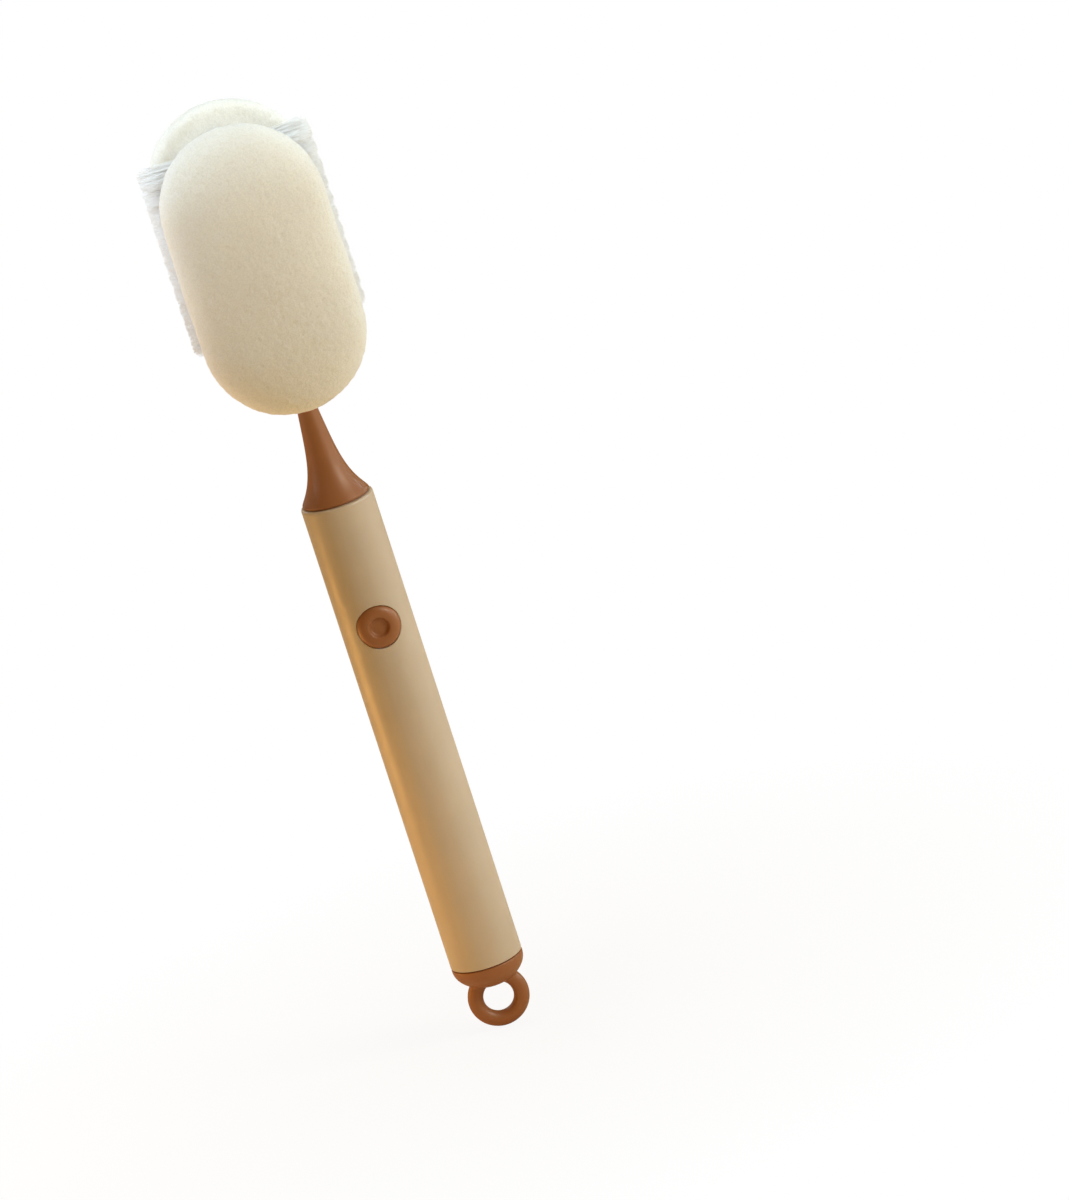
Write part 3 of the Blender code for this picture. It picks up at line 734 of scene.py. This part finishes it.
def swell(pad, cap):
    """Blows the foam up a little under pressure, each vertex by no more than the cap."""
    before = places(pad.data)
    scene = bpy.context.scene
    cloth = pad.modifiers.new("swell", "CLOTH")
    cloth.settings.use_pressure = True
    cloth.settings.uniform_pressure_force = 4.0
    cloth.settings.effector_weights.gravity = 0.0
    cloth.settings.quality = 5
    cloth.settings.mass = 0.3
    cloth.point_cache.frame_start = 1
    cloth.point_cache.frame_end = SWELL_FRAMES
    for number in range(1, SWELL_FRAMES + 1):
        scene.frame_set(number)
    pad = bake(pad)
    scene.frame_set(1)
    move = places(pad.data) - before
    length = np.linalg.norm(move, axis=1, keepdims=True)
    move *= np.minimum(1.0, cap / np.maximum(length, TINY))
    pad.data.vertices.foreach_set("co", (before + move).ravel())
    pad.data.update()
    return pad


def roughen(pad, seed):
    """Pits and lumps of the foam's cells, in the mesh itself: scales per metre, and heights in mm."""
    pits, swells, grains = 620, 70, 480
    swell_height, grain_height, pit_depth, lift = 0.22, 0.16, 0.26, 0.06
    mesh = pad.data
    shift = Vector((seed * 3.1, seed * 1.7, seed * 0.9))
    normals = [v.normal.copy() for v in mesh.vertices]
    for vertex, normal in zip(mesh.vertices, normals):
        spot = vertex.co
        near, second = noise.voronoi(spot * pits + shift)[0][:2]
        pit = min(1.0, max(0.0, (second - near) * 1.6))
        lump = noise.noise(spot * swells + shift) * swell_height
        lump += noise.noise(spot * grains + shift) * grain_height
        vertex.co = spot + normal * (lump + lift - pit_depth * pit) * MM
    mesh.update()


def make_pad(name, node, low, high, side, seed):
    blank = pad_blank(name, low, high, side)
    pad = voxelise(blank, 1.3 * MM)
    pad = swell(pad, 0.5 * MM)
    pad = voxelise(pad, 0.5 * MM)
    soften(pad, lambda p: 1.0, 4)
    roughen(pad, seed)
    dress(pad, cream_foam)
    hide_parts(node)
    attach(pad, "head")


# Bristles


def make_bristles(name, node, side, seed):
    """Rows of tufts that fan out from a thin backing. Each strand is a tapered, slightly bent tube."""
    chance = random.Random(seed)
    rows, tufts, strands, levels, sides = 11, 12, 22, 4, 3
    root_x = 8.2 * MM
    tip_x = slab_high.x - 0.2 * MM
    first, pitch = PAD_TOP - 13.7 * MM, 5.6 * MM
    root_half, tip_half, slab_half, fan = 10.6 * MM, 13.8 * MM, 13.7 * MM, 1.22
    # In mm: a tuft's radius at its root, and a strand's radius there and what it loses up to its tip
    tuft_radius, strand_radius, taper = 0.7, 0.13, 0.06
    splay = 1.6
    spots, faces = [], []
    for row in range(rows):
        z0 = first - row * pitch
        for tuft in range(tufts):
            across = 2 * tuft / (tufts - 1) - 1
            y0 = root_half * across
            corner = abs(across) ** 4 * (1.0 if row in (0, rows - 1) else 0.5)
            lean_y, lean_z = chance.uniform(-0.4, 0.4), chance.uniform(-0.35, 0.35)
            for _ in range(strands):
                turn, out = chance.uniform(0, 2 * math.pi), math.sqrt(chance.random()) * tuft_radius
                ry, rz = out * math.cos(turn) * MM, out * math.sin(turn) * MM
                ty = y0 * fan + ry * splay + (lean_y + chance.gauss(0, 0.35)) * MM
                ty = max(-tip_half, min(tip_half, ty))
                tz = z0 + rz * splay + (lean_z + chance.gauss(0, 0.4)) * MM
                tx = tip_x - (abs(chance.gauss(0, 0.7)) + 2.2 * corner) * MM
                bend = (chance.gauss(0, 0.25) * MM, chance.gauss(0, 0.3) * MM)
                base = len(spots)
                for k in range(levels):
                    t = k / (levels - 1)
                    bow = math.sin(math.pi * t)
                    x = root_x + (tx - root_x) * t
                    y = y0 + ry + (ty - y0 - ry) * t**1.1 + bend[0] * bow
                    z = z0 + rz + (tz - z0 - rz) * t**1.1 + bend[1] * bow
                    radius = (strand_radius - taper * t) * MM
                    for a in turns(sides):
                        dy, dz = radius * math.cos(a + turn), radius * math.sin(a + turn)
                        spots.append((side * x, y + dy, z + dz))
                for k in range(levels - 1):
                    low, high = base + sides * k, base + sides * (k + 1)
                    for j in range(sides):
                        n = (j + 1) % sides
                        quad = [low + j, low + n, high + n, high + j]
                        faces.append(quad if side > 0 else quad[::-1])
                last = base + sides * (levels - 1)
                tip = [last + j for j in range(sides)]
                faces.append(tip if side > 0 else tip[::-1])
    mesh = bpy.data.meshes.new(name)
    mesh.from_pydata(spots, [], faces)
    mesh.shade_smooth()
    maker = bmesh.new()
    maker.from_mesh(mesh)
    size = Vector((2.6 * MM, slab_half * 2, slab_high.z - slab_low.z))
    middle = Vector((side * 7.0 * MM, 0, (slab_high.z + slab_low.z) / 2))
    place = Matrix.Translation(middle) @ Matrix.Diagonal((*size, 1))
    block = bmesh.ops.create_cube(maker, size=1, matrix=place)["verts"]
    edges = {e for v in block for e in v.link_edges}
    bmesh.ops.bevel(maker, geom=list(edges), offset=0.35 * MM, segments=3, profile=0.5, affect="EDGES")
    maker.to_mesh(mesh)
    maker.free()
    mesh.materials.append(white_nylon)
    bristles = link(bpy.data.objects.new(name, mesh))
    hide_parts(node)
    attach(bristles, "head")


# Finishes of the nodes whose shape stays

finishes = {
    "cap_ring": dark_rubber,
    "spigot_ring": dark_rubber,
    "socket_insert": moulded,
    "latch_yoke": moulded,
    "frame_front": moulded,
    "frame_back": moulded,
    "stem_pin": steel,
    "frame_screw_1": steel,
    "frame_screw_2": steel,
    "frame_screw_3": steel,
}
for node, finish in finishes.items():
    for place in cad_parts[node].material_slots:
        place.material = finish

make_handle()
make_end_cap()
make_button()
make_neck()
make_gasket()
make_spring()
make_bristles("bristle_rows_left", "bristles_left", -1, 11)
make_bristles("bristle_rows_right", "bristles_right", 1, 12)
make_pad("foam_front", "sponge_front", front_low, front_high, -1, 1)
make_pad("foam_back", "sponge_back", back_low, back_high, 1, 2)


# Floor, light and camera

FLOOR_LEVEL = -10.25 * MM
SAND = (0.96, 0.85, 0.65)
AMBER = (1.0, 0.62, 0.2)
COOL = (0.66, 0.82, 1.0)
BLUE = (0.5, 0.8, 1.0)
PICTURE = (1069, 1200)


def stage_material(name, colour, near, far):
    """White to the camera, less the object's shadow close to it, and a plain surface to everything else."""
    shadow_near, shadow_far = 0.03, 0.22
    made = bpy.data.materials.new(name)
    made.use_nodes = True
    made.node_tree.nodes.clear()
    tree = Tree(made.node_tree)
    plain = tree.add("ShaderNodeBsdfDiffuse", {"Color": (*colour, 1)}).outputs[0]
    light = tree.add("ShaderNodeEmission", {"Color": (1, 1, 1, 1), "Strength": 1.0}).outputs[0]
    seen = tree.add("ShaderNodeLightPath").outputs["Is Camera Ray"]
    place = tree.add("ShaderNodeTexCoord").outputs["Object"]
    reach = tree.add("ShaderNodeVectorMath", {0: place}, operation="LENGTH").outputs["Value"]
    share = tree.maths("MULTIPLY", seen, tree.ramp(reach, shadow_near, shadow_far, near, far))
    tree.add("ShaderNodeOutputMaterial", {0: tree.mix_shaders(share, plain, light)})
    return made


def make_floor():
    maker = bmesh.new()
    bmesh.ops.create_grid(maker, x_segments=2, y_segments=2, size=6)
    floor = object_from("floor", maker, stage_material("floor_white", SAND, 0.91, 1.0))
    floor.location = (0, 0, FLOOR_LEVEL)


def make_world():
    """White to the camera and through clear things, and a soft warm light on the object."""
    world = bpy.data.worlds.new("studio")
    bpy.context.scene.world = world
    world.use_nodes = True
    world.node_tree.nodes.clear()
    tree = Tree(world.node_tree)
    white = tree.add("ShaderNodeBackground", {"Color": (1, 1, 1, 1), "Strength": 1.0}).outputs[0]
    soft = tree.add("ShaderNodeBackground", {"Color": (*AMBER, 1), "Strength": 0.36}).outputs[0]
    path = tree.add("ShaderNodeLightPath").outputs
    seen = tree.maths("MAXIMUM", path["Is Camera Ray"], path["Is Transmission Ray"])
    tree.add("ShaderNodeOutputWorld", {0: tree.mix_shaders(seen, soft, white)})


def hang(lamp, place, target, power, colour):
    """Puts the lamp in its place, aimed at the target."""
    lamp.energy = power
    lamp.color = colour
    obj = link(bpy.data.objects.new(lamp.name, lamp))
    obj.location = place
    obj.rotation_euler = (Vector(target) - Vector(place)).to_track_quat("-Z", "Y").to_euler()


def add_lamp(name, place, target, size, power, colour):
    """A soft round lamp of that width."""
    lamp = bpy.data.lights.new(name, "AREA")
    lamp.shape = "DISK"
    lamp.size = size
    hang(lamp, place, target, power, colour)


def add_spot(name, place, target, angle, power, colour):
    """A narrow lamp that lights the head or the handle alone and leaves the neck in shade."""
    lamp = bpy.data.lights.new(name, "SPOT")
    lamp.shadow_soft_size = 0.06
    lamp.spot_size = math.radians(angle)
    lamp.spot_blend = 0.8
    hang(lamp, place, target, power, colour)


def make_camera():
    """Long lens. The brush leans 18 degrees to the left in the picture, so the camera rolls by that much."""
    azimuth, elevation, roll = math.radians(2.5), math.radians(16.0), math.radians(17.8)
    distance, per_pixel, sensor = 3.0, 0.325 * MM, 36.0
    width, height = PICTURE
    away = math.cos(elevation)
    back = Vector((-math.sin(azimuth) * away, -math.cos(azimuth) * away, math.sin(elevation)))
    level = Vector((math.cos(azimuth), -math.sin(azimuth), 0))
    rise = back.cross(level)
    right = level * math.cos(roll) - rise * math.sin(roll)
    up = level * math.sin(roll) + rise * math.cos(roll)
    # The handle's lower end lies at this pixel of the picture
    anchor, pixel = Vector((0, 0, HANDLE_LOW)), (486.0, 957.0)
    spot = anchor + back * distance
    spot -= right * (pixel[0] - width / 2) * per_pixel
    spot += up * (pixel[1] - height / 2) * per_pixel
    data = bpy.data.cameras.new("camera")
    data.sensor_fit = "HORIZONTAL"
    data.sensor_width = sensor
    data.lens = sensor * distance / (width * per_pixel)
    data.clip_end = 50
    camera = link(bpy.data.objects.new("camera", data))
    turn = Matrix((right, up, back)).transposed().to_4x4()
    camera.matrix_world = Matrix.Translation(spot) @ turn
    bpy.context.scene.camera = camera


bpy.context.scene.view_settings.view_transform = "Standard"
make_floor()
make_world()
add_lamp("key", (0.9, -0.52, 0.6), (0, 0, 0.16), 0.45, 6.4, (0.83, 0.94, 1.0))
add_lamp("top", (-0.06, -0.1, 1.15), (0, 0, 0.25), 0.3, 2.4, BLUE)
add_lamp("back", (-0.45, 0.85, 0.6), (0, 0, 0.25), 0.5, 1.5, (0.7, 0.86, 1.0))
add_lamp("left_rim", (-0.24, 0.05, 0.05), (0, 0, 0.08), 0.1, 0.17, (1.0, 0.5, 0.13))
add_spot("head_left", (-0.6, -0.01, 0.42), (0, 0, 0.285), 16, 10.0, COOL)
add_spot("head_right", (0.5, 0.32, 0.42), (0, 0, 0.275), 18, 6.0, (0.46, 0.78, 1.0))
add_spot("head_top", (-0.22, -0.55, 0.82), (0, 0.015, 0.315), 11, 16.5, COOL)
add_spot("handle_right", (0.85, 0.12, 0.2), (0, 0, 0.09), 17, 7.0, (0.8, 0.93, 1.0))
add_spot("handle_glow", (-0.5, -0.42, 0.03), (0, 0, 0.035), 15, 3.0, (1.0, 0.55, 0.2))
make_camera()
